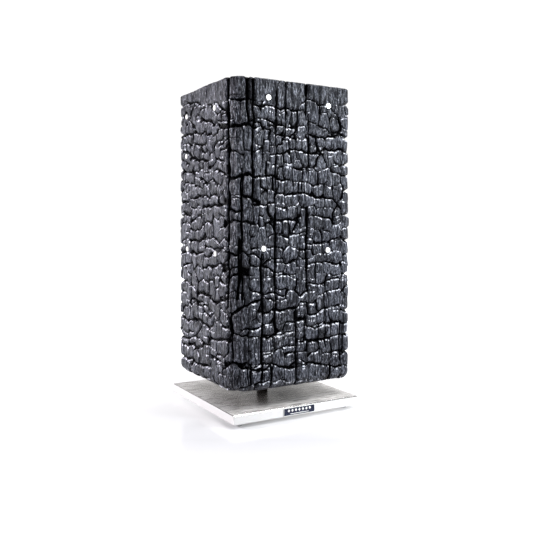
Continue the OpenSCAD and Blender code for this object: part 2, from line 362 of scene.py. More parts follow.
NEAR_R, OTHER_R = 20.0, 9.0      # upright corners' radii: the worn one at -X -Y, and the rest
FOOT_R, RIM_R = 11.0, 2.0         # roundings of the block's lower and upper edges
WEAR = 1.5                       # how far the worn corner is burnt back at the bottom
RAISE = FOOT_R * (math.pi / 2 - 1)   # arc length at a height on the side, less that height


class Outline:
    """The block's plan, walked once round with the wood on the left. It starts at the +X +Y corner.

    Seen from outside the walk goes to the right: back, left, front and right face.
    """

    def __init__(self):
        x, y = BLOCK_HIGH.x, BLOCK_HIGH.y
        corners = [((-x, y), OTHER_R), ((-x, -y), NEAR_R), ((x, -y), OTHER_R), ((x, y), OTHER_R)]
        steps = [((-1, 0), (0, 1)), ((0, -1), (-1, 0)), ((1, 0), (0, -1)), ((0, 1), (1, 0))]
        here, last_r = (x, y), OTHER_R
        self.parts, self.length, self.middles = [], 0.0, []
        for (corner, radius), (ahead, out) in zip(corners, steps):
            run = math.dist(here, corner) - last_r - radius
            start = [here[i] + ahead[i] * last_r for i in (0, 1)]
            self.middles.append(self.length - last_r + math.dist(here, corner) / 2)
            self._add("line", run, start=start, ahead=ahead, out=out)
            centre = [corner[i] - ahead[i] * radius - out[i] * radius for i in (0, 1)]
            self._add("arc", radius * math.pi / 2, centre=centre, radius=radius,
                      angle=math.atan2(out[1], out[0]))
            here, last_r = corner, radius

    def _add(self, kind, run, **shape):
        self.parts.append({"kind": kind, "from": self.length, "to": self.length + run, **shape})
        self.length += run

    def points(self, u):
        """Points and outward normals at the distances u along the walk."""
        place, normal = np.zeros((len(u), 2)), np.zeros((len(u), 2))
        for part in self.parts:
            at = (u >= part["from"]) & (u < part["to"])
            run = (u[at] - part["from"])[:, None]
            if part["kind"] == "line":
                place[at] = np.array(part["start"]) + run * np.array(part["ahead"])
                normal[at] = part["out"]
            else:
                angle = part["angle"] + run[:, 0] / part["radius"]
                normal[at] = np.stack([np.cos(angle), np.sin(angle)], -1)
                place[at] = np.array(part["centre"]) + part["radius"] * normal[at]
        return place, normal

    def on(self, face, sideways):
        """The distance along the walk of a spot on a face, sideways from its middle."""
        return self.middles[("back", "left", "front", "right").index(face)] + sideways


# ---------------- cracks

# Main cracks, listed one by one: width and points (sideways, height above the underside), mm. Sideways is
# from a line near the face's middle, 80 being past its outer edge. Those round the near corner start on
# the left face.
FRONT_LINE, LEFT_LINE, CORNER_LINE = -1.5, 5.0, 4.5    # the lines, sideways from the face's middle
FRONT_CRACKS = [
    (3.4, (-57, 334), (-57, 300), (-56, 281)),
    (2.6, (-50, 334), (-50, 268), (-51, 200)),
    (2.2, (-40, 150), (-39, 90), (-40, 12)),
    (1.4, (-22, 322), (-22, 262), (-23, 204)),
    (2.0, (-22, 200), (-23, 128), (-22, 60)),
    (1.4, (-10, 334), (-10, 270)),
    (2.4, (17, 196), (17, 150), (17, 106)),
    (2.0, (12, 246), (11, 214)),
    (2.0, (5, 302), (5, 286)),
    (2.2, (3, 86), (3, 52), (5, 0)),
    (1.4, (20, 300), (20, 242)),
    (1.4, (42, 100), (42, 40)),
    (1.6, (15, 78), (14, 48)),
    (2.6, (17, 334), (17, 318)),
    (3.2, (-67, 165), (-67, 120), (-69, 98)),
    (2.0, (-53, 32), (-53, 8)),
    (1.8, (-28, 26), (-27, 0)),
    (1.5, (62, 70), (62, 22)),
    (2.0, (-50, 305), (-30, 305), (-10, 303), (8, 302)),
    (1.6, (8, 306), (20, 318), (28, 317), (34, 311), (48, 311), (64, 299)),
    (1.6, (-48, 291), (-34, 290), (-22, 286), (0, 284)),
    (1.5, (-22, 274), (-8, 274), (6, 273)),
    (1.8, (20, 277), (32, 276), (42, 274), (60, 281), (80, 277)),
    (2.0, (40, 263), (54, 262), (66, 262)),
    (1.7, (-30, 251), (-12, 254), (2, 262), (20, 258), (38, 256)),
    (2.2, (0, 240), (12, 239)),
    (1.8, (-50, 230), (-36, 229), (-24, 230), (-12, 225)),
    (2.4, (-10, 212), (4, 211), (14, 213)),
    (2.0, (14, 213), (30, 209), (52, 207)),
    (1.8, (-51, 199), (-36, 198), (-24, 202)),
    (2.2, (-22, 182), (-8, 182), (8, 187)),
    (2.0, (20, 189), (36, 187), (50, 184)),
    (1.4, (-20, 166), (-6, 165), (17, 168)),
    (1.6, (18, 156), (40, 158), (60, 163)),
    (1.8, (-66, 149), (-52, 147), (-40, 141)),
    (1.6, (-22, 137), (-8, 136), (2, 139)),
    (2.0, (18, 133), (30, 135), (44, 137), (62, 131)),
    (1.5, (-66, 125), (-52, 124)),
    (1.4, (-22, 122), (-8, 124), (2, 118)),
    (1.7, (18, 112), (34, 110), (46, 116), (62, 118)),
    (1.6, (-40, 102), (-22, 104), (-10, 101)),
    (2.2, (-80, 85), (-66, 90), (-52, 97), (-41, 98)),
    (2.4, (-39, 85), (-22, 84), (-8, 86), (4, 88)),
    (1.8, (17, 78), (30, 79), (46, 83), (62, 86)),
    (2.2, (-5, 71), (15, 72)),
    (1.6, (-66, 67), (-52, 66), (-41, 69)),
    (1.8, (-39, 57), (-30, 56), (-22, 60), (0, 60)),
    (1.5, (16, 65), (30, 61), (42, 66), (60, 67)),
    (2.0, (6, 50), (26, 48), (46, 50), (64, 52)),
    (1.6, (-39, 38), (-30, 40), (-22, 42), (0, 46)),
    (2.2, (-80, 33), (-64, 27), (-52, 25), (-40, 22)),
    (1.8, (-39, 21), (-28, 27), (-14, 24), (0, 21)),
    (2.0, (8, 29), (20, 26), (30, 22), (46, 18), (64, 17)),
]
LEFT_CRACKS = [
    (3.2, (53, 334), (53, 290), (54, 230), (53, 150), (52, 90)),
    (2.6, (57, 88), (58, 30)),
    (2.0, (69, 236), (70, 190), (70, 98)),
    (2.0, (-35, 334), (-36, 300), (-34, 272)),
    (1.6, (4, 334), (4, 318)),
    (1.6, (-38, 214), (-38, 190)),
    (2.0, (-3, 204), (-2, 152)),
    (1.6, (-39, 150), (-39, 62)),
    (2.6, (-5, 112), (-6, 76)),
    (1.6, (22, 128), (24, 106)),
    (1.8, (12, 60), (12, 10)),
    (2.4, (43, 30), (43, 6)),
    (1.8, (-80, 321), (-50, 321), (-32, 320), (-10, 313)),
    (1.6, (-50, 309), (-40, 307)),
    (1.8, (28, 309), (40, 302), (52, 300)),
    (2.0, (-12, 298), (0, 292), (12, 294), (18, 289)),
    (1.8, (18, 287), (34, 290), (48, 287)),
    (2.0, (-80, 289), (-50, 285), (-34, 283)),
    (1.5, (-24, 268), (-8, 268), (2, 271)),
    (2.0, (-80, 268), (-50, 262), (-38, 257), (-22, 252), (-8, 250), (6, 250)),
    (1.8, (32, 262), (42, 266), (54, 268)),
    (1.8, (10, 240), (22, 246), (34, 250)),
    (2.2, (20, 236), (34, 236), (46, 231), (54, 228)),
    (1.5, (-80, 243), (-50, 241), (-36, 239)),
    (1.8, (-16, 232), (-4, 228), (6, 219)),
    (1.8, (-80, 203), (-50, 204), (-40, 210), (-26, 208), (-10, 210)),
    (2.2, (-2, 196), (14, 198), (30, 198), (44, 200)),
    (1.8, (-40, 182), (-26, 186), (-12, 190)),
    (1.6, (-80, 187), (-52, 190), (-40, 189)),
    (1.8, (-44, 160), (-24, 160), (-6, 160)),
    (1.6, (0, 152), (20, 152), (46, 154)),
    (1.8, (-80, 145), (-50, 146), (-30, 144), (-12, 146)),
    (2.2, (-4, 129), (14, 132), (34, 135), (50, 136)),
    (1.6, (-80, 109), (-54, 110), (-36, 107)),
    (2.0, (0, 98), (14, 98), (28, 92), (40, 96), (50, 101)),
    (1.6, (-38, 90), (-22, 90), (-6, 90)),
    (1.8, (-4, 79), (12, 76), (22, 80)),
    (2.0, (-80, 68), (-50, 64), (-36, 66), (-18, 70), (-4, 66), (10, 62)),
    (2.4, (12, 52), (30, 53), (44, 55), (57, 55)),
    (1.6, (-80, 44), (-48, 42), (-30, 48), (-8, 44), (12, 42)),
    (2.0, (-44, 36), (-30, 38)),
    (1.8, (-80, 19), (-50, 18), (-38, 22), (-24, 16), (8, 21)),
    (1.6, (12, 33), (30, 32), (43, 28)),
    (2.2, (44, 26), (58, 32), (74, 30)),
]
CORNER_CRACKS = [
    (1.6, (56, 309), (66, 308), (74, 310), (84, 309)),
    (2.4, (54, 281), (66, 280), (76, 282), (88, 281)),
    (2.6, (54, 229), (68, 228), (80, 230), (90, 229)),
    (1.6, (54, 196), (64, 190), (70, 194)),
    (2.0, (70, 208), (80, 206), (92, 201)),
    (1.8, (55, 148), (66, 146), (72, 148)),
    (1.6, (54, 122), (64, 124), (70, 121)),
]
# Heights of the notches in the outer upright corners.
RIGHT_CORNER_NOTCHES = (314, 277, 247, 218, 188, 160, 121, 80, 52, 31)
LEFT_CORNER_NOTCHES = (308, 268, 232, 188, 154, 109, 70, 44)
NOTCH_REACH, NOTCH_WIDTH = 11.0, 2.8    # how far a notch runs from the corner to either side
STRIP = (58, -51.5)              # the near corner's strip of blocks, left face to front face
TOP_BAND = (306, 318)            # where the scales give way to plain upright blocks


class Noise:
    """Smooth seeded noise from -1 to 1 that repeats after length in its first direction."""

    REACH = 400.0                       # how far it runs in its second direction

    def __init__(self, rng, length, wave_u, wave_s):
        self.count = max(2, round(length / wave_u))
        self.wave_u, self.wave_s = length / self.count, wave_s
        self.knots = rng.uniform(-1, 1, (self.count, int(self.REACH / wave_s) + 8))

    def __call__(self, u, s=0.0):
        a, b = u / self.wave_u, np.clip(s / self.wave_s + 2.0, 0, self.knots.shape[1] - 2)
        i, j = np.floor(a).astype(int), np.floor(b).astype(int)
        f, g = a - i, b - j
        f, g = f * f * (3 - 2 * f), g * g * (3 - 2 * g)
        low, high, k = i % self.count, (i + 1) % self.count, self.knots
        return ((1 - f) * ((1 - g) * k[low, j] + g * k[low, j + 1])
                + f * ((1 - g) * k[high, j] + g * k[high, j + 1]))


def smooth(value, low, high):
    """Rises smoothly from 0 at low to 1 at high."""
    t = np.clip((value - low) / (high - low), 0, 1)
    return t * t * (3 - 2 * t)


def is_level(points):
    """Whether a crack runs more sideways than upwards."""
    first, last = points[0], points[-1]
    return abs(last[0] - first[0]) >= abs(last[1] - first[1])


def run_of(points):
    """A crack's direction (0 level, 1 upright), its points in order, and their places along and across."""
    ends = np.array(points, float)
    along = 0 if is_level(points) else 1
    ends = ends[np.argsort(ends[:, along])]
    return along, ends, ends[:, along], ends[:, 1 - along]


class CharSurface:
    """Height and shade of the burnt surface, on a fine grid over the unrolled sides.

    u runs along the outline and s up the profile, in mm. Each scale grows round a seed. Seeds stand
    in pairs either side of the main cracks, so that scales meet there, and fill the rest at random.
    """

    STEP = 0.5
    PILLOW, PILLOW_REACH = 0.75, 0.9    # how far a scale's edge falls off, and over what distance
    SQUARENESS = 4                      # 2 gives many-sided scales, and more gives bricks
    SEED_TRIES = 9000                   # random places tried for a seed
    STRENGTHS = 4096                    # random strengths for the scales' borders
    # A scale's usual size up the side: (s, width, height).
    SIZES = [(0, 14.5, 16), (90, 13.5, 15), (125, 11.5, 12), (290, 11.5, 12), (310, 13, 18),
             (320, 17, 44), (345, 17, 44)]
    STRIP_SIZE = (21.0, 28.0)
    NARROW, NARROW_WIDE, NARROW_UP = 0.72, 75, (150, 305)    # narrower scales beside the strip
    SEAT_FLAT, SEAT_END, SEAT_DEPTH = 3.4, 6.5, 0.45         # radii and depth of a magnet's seat
    SEAT_GAP = 3.7                      # radius of the ring of painted shade round a magnet, where its gap is

    def __init__(self, outline, height):
        self.height_s = height
        self.rng = np.random.default_rng(SEED)
        self.length = length = outline.length
        self.shape = rows, columns = round(height / self.STEP), round(length / self.STEP)
        self.s, self.u = np.meshgrid((np.arange(rows) + 0.5) * height / rows,
                                     (np.arange(columns) + 0.5) * length / columns, indexing="ij")
        wave, teeth = Noise(self.rng, length, 8, 17), Noise(self.rng, length, 2.2, 9)
        sway, nick = Noise(self.rng, length, 12, 14), Noise(self.rng, length, 4, 5)
        self.warped = (self.u + 1.3 * sway(self.u, self.s) + 0.4 * nick(self.u, self.s),
                       self.s + 2.0 * wave(self.u, self.s) + 0.8 * teeth(self.u, self.s))
        self.spread = 0.8 + 0.35 * Noise(self.rng, length, 9, 9)(self.u, self.s)
        self.cut, self.dip, self.edge = (np.zeros(self.shape) for _ in range(3))
        self.strip = (outline.on("left", STRIP[0]), outline.on("front", STRIP[1]))
        self.left = (self.u > outline.on("left", -75)) & (self.u < self.strip[0])
        self.seeds = np.empty((0, 4))

    def around(self, across):
        """A difference between two distances along the outline, taken the shorter way round."""
        return (across + self.length / 2) % self.length - self.length / 2

    def usual_size(self, u, s):
        """The usual width and height of a scale at a place."""
        low, high = self.strip
        if low < u < high:
            return self.STRIP_SIZE
        heights, widths, talls = zip(*self.SIZES)
        beside = high < u < high + self.NARROW_WIDE and self.NARROW_UP[0] < s < self.NARROW_UP[1]
        narrow = self.NARROW if beside else 1.0
        return narrow * float(np.interp(s, heights, widths)), float(np.interp(s, heights, talls))

    def crowding(self, u, s, wide, tall):
        """How near the nearest seed is, where 1 is a usual scale's size away."""
        if not len(self.seeds):
            return 9.0
        across = np.abs(self.seeds[:, 0] - u)
        across = np.minimum(across, self.length - across) / np.maximum(wide, self.seeds[:, 2])
        up = np.abs(self.seeds[:, 1] - s) / np.maximum(tall, self.seeds[:, 3])
        return ((across ** 3 + up ** 3) ** (1 / 3)).min()

    def sow(self, places, room, variety):
        """Adds the seeds at places if every one of them has room."""
        added = []
        for u, s in places:
            u %= self.length
            wide, tall = self.usual_size(u, s) * np.exp(self.rng.normal(0, variety, 2))
            if self.crowding(u, s, wide, tall) < room:
                return
            added.append((u, s, wide, tall))
        self.seeds = np.vstack([self.seeds, added])

    def sow_along(self, points):
        """Sows pairs of seeds either side of a main crack."""
        along, ends, run, cross = run_of(points)
        pitch = self.usual_size(*ends.mean(0))[along]
        count = max(1, round((run[-1] - run[0]) / pitch))
        for k in range(count):
            here = run[0] + (k + self.rng.uniform(0.35, 0.65)) * (run[-1] - run[0]) / count
            middle = np.interp(here, run, cross)
            off = self.usual_size(*((middle, here) if along else (here, middle)))[1 - along] * 0.5
            pair = [(middle + d, here) if along else (here, middle + d) for d in (-off, off)]
            self.sow(pair, 0.62, 0.1)

    def carve(self, at, distance, width, depth, soften):
        """Cuts a crack into the cells at, which lie at distance from its middle.

        The edge layer passes 0.5 where the crack's wall begins, and rises by 0.5 a millimetre inwards.
        """
        away = np.abs(distance)
        self.edge[at] = np.maximum(self.edge[at], np.clip(0.5 + (width / 2 - away) * 0.5, 0, 1))
        self.cut[at] = np.maximum(self.cut[at], depth / (1 + (2 * away / width) ** 4))
        edge = np.maximum(away - width / 2, 0)
        fall = self.PILLOW * soften * np.exp(-edge / self.PILLOW_REACH)
        self.dip[at] = np.maximum(self.dip[at], fall)

    def main_crack(self, points, width):
        """Cuts a main crack along its points, which narrows and fades out at its ends."""
        along, ends, run, cross = run_of(points)
        cosine = math.cos(math.atan2(cross[-1] - cross[0], run[-1] - run[0]))
        low, high = ends.min(0) - 14.0, ends.max(0) + 14.0
        near = np.nonzero((self.u > low[0]) & (self.u < high[0])
                          & (self.s > low[1]) & (self.s < high[1]))
        here = self.warped[along][near]
        distance = (self.warped[1 - along][near] - np.interp(here, run, cross)) * cosine
        fade = smooth(np.minimum(here - run[0], run[-1] - here), -1.5, 2.5)
        width = 1.3 * width * self.spread[near] * (0.25 + 0.75 * fade)
        self.carve(near, distance, width, (1.4 + 0.8 * width) * fade, fade)
        if not along:
            self.fray[near] = np.maximum(self.fray[near], fade * np.exp(-np.abs(distance) / 3.0))

    def grow(self, main_cracks):
        """Sows the scales, the widest main cracks first, and cuts all the cracks."""
        order = sorted(main_cracks, key=lambda crack: -crack[1])
        for points, _ in order:
            self.sow_along(points)
        for u, s in self.rng.uniform((0, 0), (self.length, self.height_s), (self.SEED_TRIES, 2)):
            self.sow([(u, s)], 0.84, 0.24)
        self.part()
        for points, width in order:
            self.main_crack(points, width)

    def part(self):
        """Gives each cell to the scale whose seed is nearest, and cracks the scales' borders."""
        rows, columns = self.shape
        best, second = np.full(self.shape, 9.0), np.full(self.shape, 9.0)
        owner, rival = np.zeros(self.shape, int), np.zeros(self.shape, int)
        for k, (u, s, wide, tall) in enumerate(self.seeds):
            i = np.arange(int((u - 2.2 * wide) / self.STEP), int((u + 2.2 * wide) / self.STEP)) % columns
            j = np.arange(max(0, int((s - 2.2 * tall) / self.STEP)),
                          min(rows, int((s + 2.2 * tall) / self.STEP)))
            at = np.ix_(j, i)
            across = np.abs(self.around(self.warped[0][at] - u)) / wide
            up = np.abs(self.warped[1][at] - s) / tall
            far = (across ** self.SQUARENESS + up ** self.SQUARENESS) ** (1 / self.SQUARENESS)
            first, last = best[at], second[at]
            mine, owned = owner[at], far < first
            near = owned | (far < last)
            rival[at] = np.where(owned, mine, np.where(near, k, rival[at]))
            second[at] = np.where(owned, first, np.where(near, far, last))
            owner[at], best[at] = np.where(owned, k, mine), np.where(owned, far, first)
        self.owner = owner
        a, b = self.seeds[owner], self.seeds[rival]
        across = np.abs(self.around(a[..., 0] - b[..., 0])) / a[..., 2]
        up = np.abs(a[..., 1] - b[..., 1]) / a[..., 3]
        level = up > across
        distance = (second - best) / 2 * np.where(level, a[..., 3], a[..., 2])
        strengths = 0.12 + 0.88 * self.rng.uniform(0, 1, self.STRENGTHS) ** 1.7
        pair = np.minimum(owner, rival) * 61 + np.maximum(owner, rival) * 17
        strength = strengths[pair % self.STRENGTHS]
        strength *= 1 - 0.6 * smooth(self.s, 312, 322) * ~level
        on_left = np.where(level, 0.3 + 0.7 * strength, 0.6 * strength)
        strength = np.where(self.left, on_left, strength)
        width = (0.45 + 1.25 * strength) * (self.spread + 0.2) * np.where(self.left & level, 1.5, 1.0)
        self.carve(..., distance, width, 0.8 + 1.8 * strength, 0.3 + 0.7 * strength)
        self.fray = strength * level * np.exp(-distance / 3.0)

    def finish(self, magnet_spots):
        """Adds up the height, sinks a small flat seat round each magnet, and keeps the layers."""
        rng, count = self.rng, len(self.seeds)
        seed = self.seeds[self.owner]
        lift, tone = rng.normal(0, 0.35, count), rng.uniform(0, 1, count)
        lean_u, lean_s = rng.normal(0, 0.7, count), rng.normal(-0.3, 0.6, count)
        coarse, slip = rng.uniform(0.5, 1.3, count)[self.owner], rng.uniform(-4, 4, count)[self.owner]
        across = self.around(self.u - seed[..., 0])
        height = (lift[self.owner] + lean_u[self.owner] * across / seed[..., 2]
                  + lean_s[self.owner] * (self.s - seed[..., 1]) / seed[..., 3])
        fine, broad = Noise(rng, self.length, 1.0, 9), Noise(rng, self.length, 2.6, 26)
        swell = Noise(rng, self.length, 45, 50)
        low, high = self.strip
        in_strip = smooth(self.u, low, low + 4) * smooth(-self.u, -high, 4 - high)
        in_band = smooth(self.s, *TOP_BAND)
        ridge = (0.85 * fine(self.u + slip, self.s + slip)
                 + (0.25 + 0.6 * in_strip) * broad(self.u + slip, self.s))
        rim = self.rims() * (0.45 + 0.55 * smooth(ridge, -0.6, 0.5))
        inner = smooth(self.s, 0, 9) * smooth(-self.s, -self.height_s, 7 - self.height_s)
        height += ridge * coarse * (0.3 + 0.35 * self.fray + 0.5 * in_strip) + 0.45 * rim - self.dip
        height = ((0.25 + 0.75 * inner) * height + 0.45 * swell(self.u, self.s)
                  - (0.45 + 0.55 * inner) * self.cut)
        crack = self.edge
        # The tone is held low in the top band, and on the near corner's strip, where it is painted shade.
        plain = in_band * 0.85 + in_strip * 0.5
        shade = tone[self.owner] * (1 - np.clip(plain, 0, 1))
        for spot_u, spot_s in magnet_spots:
            near = np.nonzero((np.abs(self.u - spot_u) < 9) & (np.abs(self.s - spot_s) < 9))
            away = np.hypot(self.u[near] - spot_u, self.s[near] - spot_s)
            keep = smooth(away, self.SEAT_FLAT, self.SEAT_END)
            height[near] = keep * height[near] - (1 - keep) * self.SEAT_DEPTH
            # Painted shade: a dark ring round each magnet, in the crack layer, where the gap is.
            gap = np.clip(0.5 + (self.SEAT_GAP - away) * 0.5, 0, 1)
            crack[near] = np.maximum(keep * crack[near], gap)
        # bright is the painted highlight on the grain's ribs and the scales' upper rims. It is stronger on
        # the left face, and the strip and the top band get less of it.
        bright = 0.36 * ridge * (1 - 0.4 * in_strip) + (1.1 - 0.6 * in_strip + 0.3 * self.left) * rim
        self.layers = [height, crack, shade, 0.42 - 0.06 * in_strip - 0.08 * in_band + bright]

    def rims(self):
        """The upper rims of the scales: the uncracked stretch just below each level crack."""
        found = np.zeros(self.shape)
        for rows in (1, 2, 3):
            above = np.roll(self.edge, -rows, axis=0)
            above[-rows:] = 0
            found = np.maximum(found, smooth(above, 0.4, 0.75) * (1.25 - 0.25 * rows))
        return found * (1 - smooth(self.edge, 0.3, 0.55))

    def sample(self, u, s):
        """Height, crack, tone and ridge at the points (u, s), read between the grid's cells."""
        a = u / self.length * self.shape[1] - 0.5
        b = np.clip(s / self.height_s * self.shape[0] - 0.5, 0, self.shape[0] - 1.001)
        i, j = np.floor(a).astype(int), np.floor(b).astype(int)
        f, g = a - i, b - j
        low, high = i % self.shape[1], (i + 1) % self.shape[1]
        return [(1 - g) * ((1 - f) * k[j, low] + f * k[j, high])
                + g * ((1 - f) * k[j + 1, low] + f * k[j + 1, high]) for k in self.layers]


# ---------------- the block's mesh

COLUMNS = 640
ROW_STEP = 1.05
TOP_RINGS, UNDER_RINGS = 48, 12
RING_WAVE = 11.0                 # between the broad growth rings on the top, mm
WEAR_REACH = 30.0                # how far the wear reaches either way from the worn corner, mm


def ring_mesh(name, rings, layers):
    """A closed mesh from rings of points, each of the same count, with a fan at either end."""
    count, size = len(rings), rings[0].shape[0]
    points = np.concatenate([*rings, [rings[0].mean(0)], [rings[-1].mean(0)]])
    ring, turn = np.meshgrid(np.arange(count - 1) * size, np.arange(size), indexing="ij")
    after = (turn + 1) % size
    quads = np.stack([ring + turn, ring + after, ring + size + after, ring + size + turn], -1)
    quads = quads.reshape(-1, 4)
    turn, last = np.arange(size), (count - 1) * size
    after = (turn + 1) % size
    first_fan = np.stack([after, turn, np.full(size, count * size)], -1)
    last_fan = np.stack([last + turn, last + after, np.full(size, count * size + 1)], -1)
    loops = np.concatenate([quads.ravel(), first_fan.ravel(), last_fan.ravel()])
    sizes = np.concatenate([np.full(len(quads), 4), np.full(2 * size, 3)])
    mesh = bpy.data.meshes.new(name)
    mesh.vertices.add(len(points))
    mesh.vertices.foreach_set("co", (points * MM).astype(np.float32).ravel())
    mesh.loops.add(len(loops))
    mesh.loops.foreach_set("vertex_index", loops.astype(np.int32))
    mesh.polygons.add(len(sizes))
    mesh.polygons.foreach_set("loop_start", (np.cumsum(sizes) - sizes).astype(np.int32))
    mesh.update(calc_edges=True)
    mesh.shade_smooth()
    for key, rows in layers.items():
        values = np.concatenate([*rows, [rows[0].mean()], [rows[-1].mean()]])
        mesh.attributes.new(key, "FLOAT", "POINT").data.foreach_set("value", values.astype(np.float32))
    made = bpy.data.objects.new(name, mesh)
    bpy.context.scene.collection.objects.link(made)
    return made


def profile(s, height):
    """Inset, height and outward normal (level, upward) of the block's side at arc length s."""
    lower = FOOT_R * math.pi / 2
    top = lower + height - FOOT_R - RIM_R
    if s < lower:
        angle = s / FOOT_R
        return (FOOT_R * (1 - math.sin(angle)), FOOT_R * (1 - math.cos(angle)),
                math.sin(angle), -math.cos(angle))
    if s < top:
        return 0.0, s - RAISE, 1.0, 0.0
    angle = min((s - top) / RIM_R, math.pi / 2)
    return (RIM_R * (1 - math.cos(angle)), height - RIM_R * (1 - math.sin(angle)),
            math.cos(angle), math.sin(angle))


def magnet_spot(name, outline):
    """Where a magnet comes through the surface, as (u, s)."""
    low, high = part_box(name)
    middle = (low + high) / 2 / MM
    face = name.split("_")[1]
    sideways = {"front": middle.x, "back": -middle.x, "left": -middle.y, "right": middle.y}[face]
    return outline.on(face, sideways), middle.z - BLOCK_LOW.z + RAISE


def main_cracks(outline):
    """Every listed crack as points (u, s) and a width. One that ends on an edge runs past it."""
    height = BLOCK_HIGH.z - BLOCK_LOW.z
    width, depth = BLOCK_HIGH.x, BLOCK_HIGH.y
    found = []
    lists = [("left", LEFT_LINE, (-depth, math.inf), LEFT_CRACKS),
             ("left", CORNER_LINE, (-depth, math.inf), CORNER_CRACKS),
             ("front", FRONT_LINE, (-width, width), FRONT_CRACKS)]
    for face, line, reach, cracks in lists:
        for gap, *points in cracks:
            placed = []
            for x, z in points:
                past_edge = 9 * ((z >= height) - (z <= 0))
                sideways = min(max(x + line, reach[0]), reach[1])
                placed.append((outline.on(face, sideways), z + RAISE + past_edge))
            found.append((placed, gap * (1.25 if face == "left" and is_level(points) else 1.0)))
    for face, corner, notches in (("front", width, RIGHT_CORNER_NOTCHES),
                                  ("left", -depth, LEFT_CORNER_NOTCHES)):
        ends = [outline.on(face, corner + d) for d in (-NOTCH_REACH, NOTCH_REACH)]
        found += [([(u, z + RAISE) for u in ends], NOTCH_WIDTH) for z in notches]
    return found + hidden_cracks(outline, height)


def hidden_cracks(outline, height):
    """Long upright and level cracks, placed at random, on the back and right faces."""
    rng = np.random.default_rng(SEED + 2)
    found = []
    for face, half in (("back", BLOCK_HIGH.x), ("right", BLOCK_HIGH.y)):
        for x in np.arange(-half + 14, half - 8, 17):
            x, low = x + rng.uniform(-5, 5), rng.uniform(-40, 200)
            high = low + rng.uniform(70, 170)
            stops = np.clip(np.linspace(low, high, 4), 0, height)
            placed = [(outline.on(face, x + rng.uniform(-1, 1)), z + RAISE) for z in stops]
            found.append((placed, rng.uniform(1.4, 2.6)))
        for z in np.arange(22, height - 24, 19):
            start, stop = rng.uniform(-half, half - 45), rng.uniform(35, 85)
            z += rng.uniform(-3, 3)
            across = np.linspace(start, min(start + stop, half), 5)
            placed = [(outline.on(face, x), z + RAISE + rng.uniform(-3, 3)) for x in across]
            found.append((placed, rng.uniform(1.5, 2.4)))
    return found


def make_block():
    """The charred block: burnt sides, checked end grain on top, and the housing's bore below."""
    outline = Outline()
    height = BLOCK_HIGH.z - BLOCK_LOW.z
    side_run = height - FOOT_R - RIM_R + (FOOT_R + RIM_R) * math.pi / 2
    surface = CharSurface(outline, side_run)
    surface.grow(main_cracks(outline))
    surface.finish([magnet_spot(name, outline) for name in MAGNETS])
    u = np.arange(COLUMNS) * outline.length / COLUMNS
    place, normal = outline.points(u)
    worn_corner = outline.on("left", BLOCK_HIGH.y) - (1 - math.pi / 4) * NEAR_R
    worn = np.cos(np.clip((u - worn_corner) / WEAR_REACH, -1, 1) * math.pi / 2) ** 2
    rings, shades = [], []

    def add(ring, *shade):
        rings.append(ring)
        shades.append(shade)

    steps = round(side_run / ROW_STEP)
    for k in range(steps + 1):
        s = side_run * k / steps
        inset, z, level, upward = profile(s, height)
        lift, *shade = surface.sample(u, np.full(COLUMNS, s))
        lift = lift - WEAR * worn * smooth(height - z, 0, height)
        ring = np.empty((COLUMNS, 3))
        ring[:, :2] = place - normal * inset + normal * (lift * level)[:, None]
        ring[:, 2] = BLOCK_LOW.z + z + lift * upward
        add(ring, *shade)
    add_top(add, rings[-1], shades[-1], outline, u)
    under, under_shades = under_rings(rings[0], shades[0])
    layers = dict(zip(("crack", "tone", "ridge"), zip(*(under_shades + shades))))
    block = ring_mesh("charred_block_burnt", under + rings, layers)
    block.data.materials.append(char_material())
    return block


def add_top(add, rim, rim_shade, outline, u):
    """The sawn and burnt upper end: growth rings about an off-centre heart, and radial checks."""
    rng = np.random.default_rng(SEED + 1)
    checks, grit = Noise(rng, outline.length, 50, 400), Noise(rng, outline.length, 2.5, 2.5)
    wander, ends = Noise(rng, outline.length, 60, 9), Noise(rng, outline.length, 25, 400)
    heart = np.array(HEART)
    top = BLOCK_HIGH.z
    for k in range(1, TOP_RINGS):
        share = 1 - k / TOP_RINGS
        ring = heart + (rim - heart) * share
        inward = np.linalg.norm(rim[:, :2] - ring[:, :2], axis=1)
        radius = np.linalg.norm(ring[:, :2] - heart[:2], axis=1)
        split = np.exp(-(checks(u + 9 * wander(u, inward)) / 0.045) ** 2)
        split *= smooth(share - 0.3 * ends(u), 0.25, 0.5)
        growth = 0.3 * np.sin(radius * math.tau / RING_WAVE + 1.5 * wander(u * 2, inward))
        fall = (rim[:, 2] - top) * np.exp(-inward / 4.0)
        ring[:, 2] = top + fall - 1.6 * split - growth + 0.12 * grit(u, inward * 1.7)
        # The crack layer paints the checks dark and carries the sides' painted shade in from the rim. The
        # ridge layer follows the growth rings and carries the sides' painted highlight in from the rim.
        crack = np.maximum(split * 0.9, rim_shade[0] * np.exp(-inward / 6.0))
        ridge = (0.4 + 0.5 * growth + 0.1 * grit(u, inward)
                 + (rim_shade[2] - 0.4) * np.exp(-inward / 3.0))
        add(ring, crack, rim_shade[1] * share + 0.4 * (1 - share), ridge)


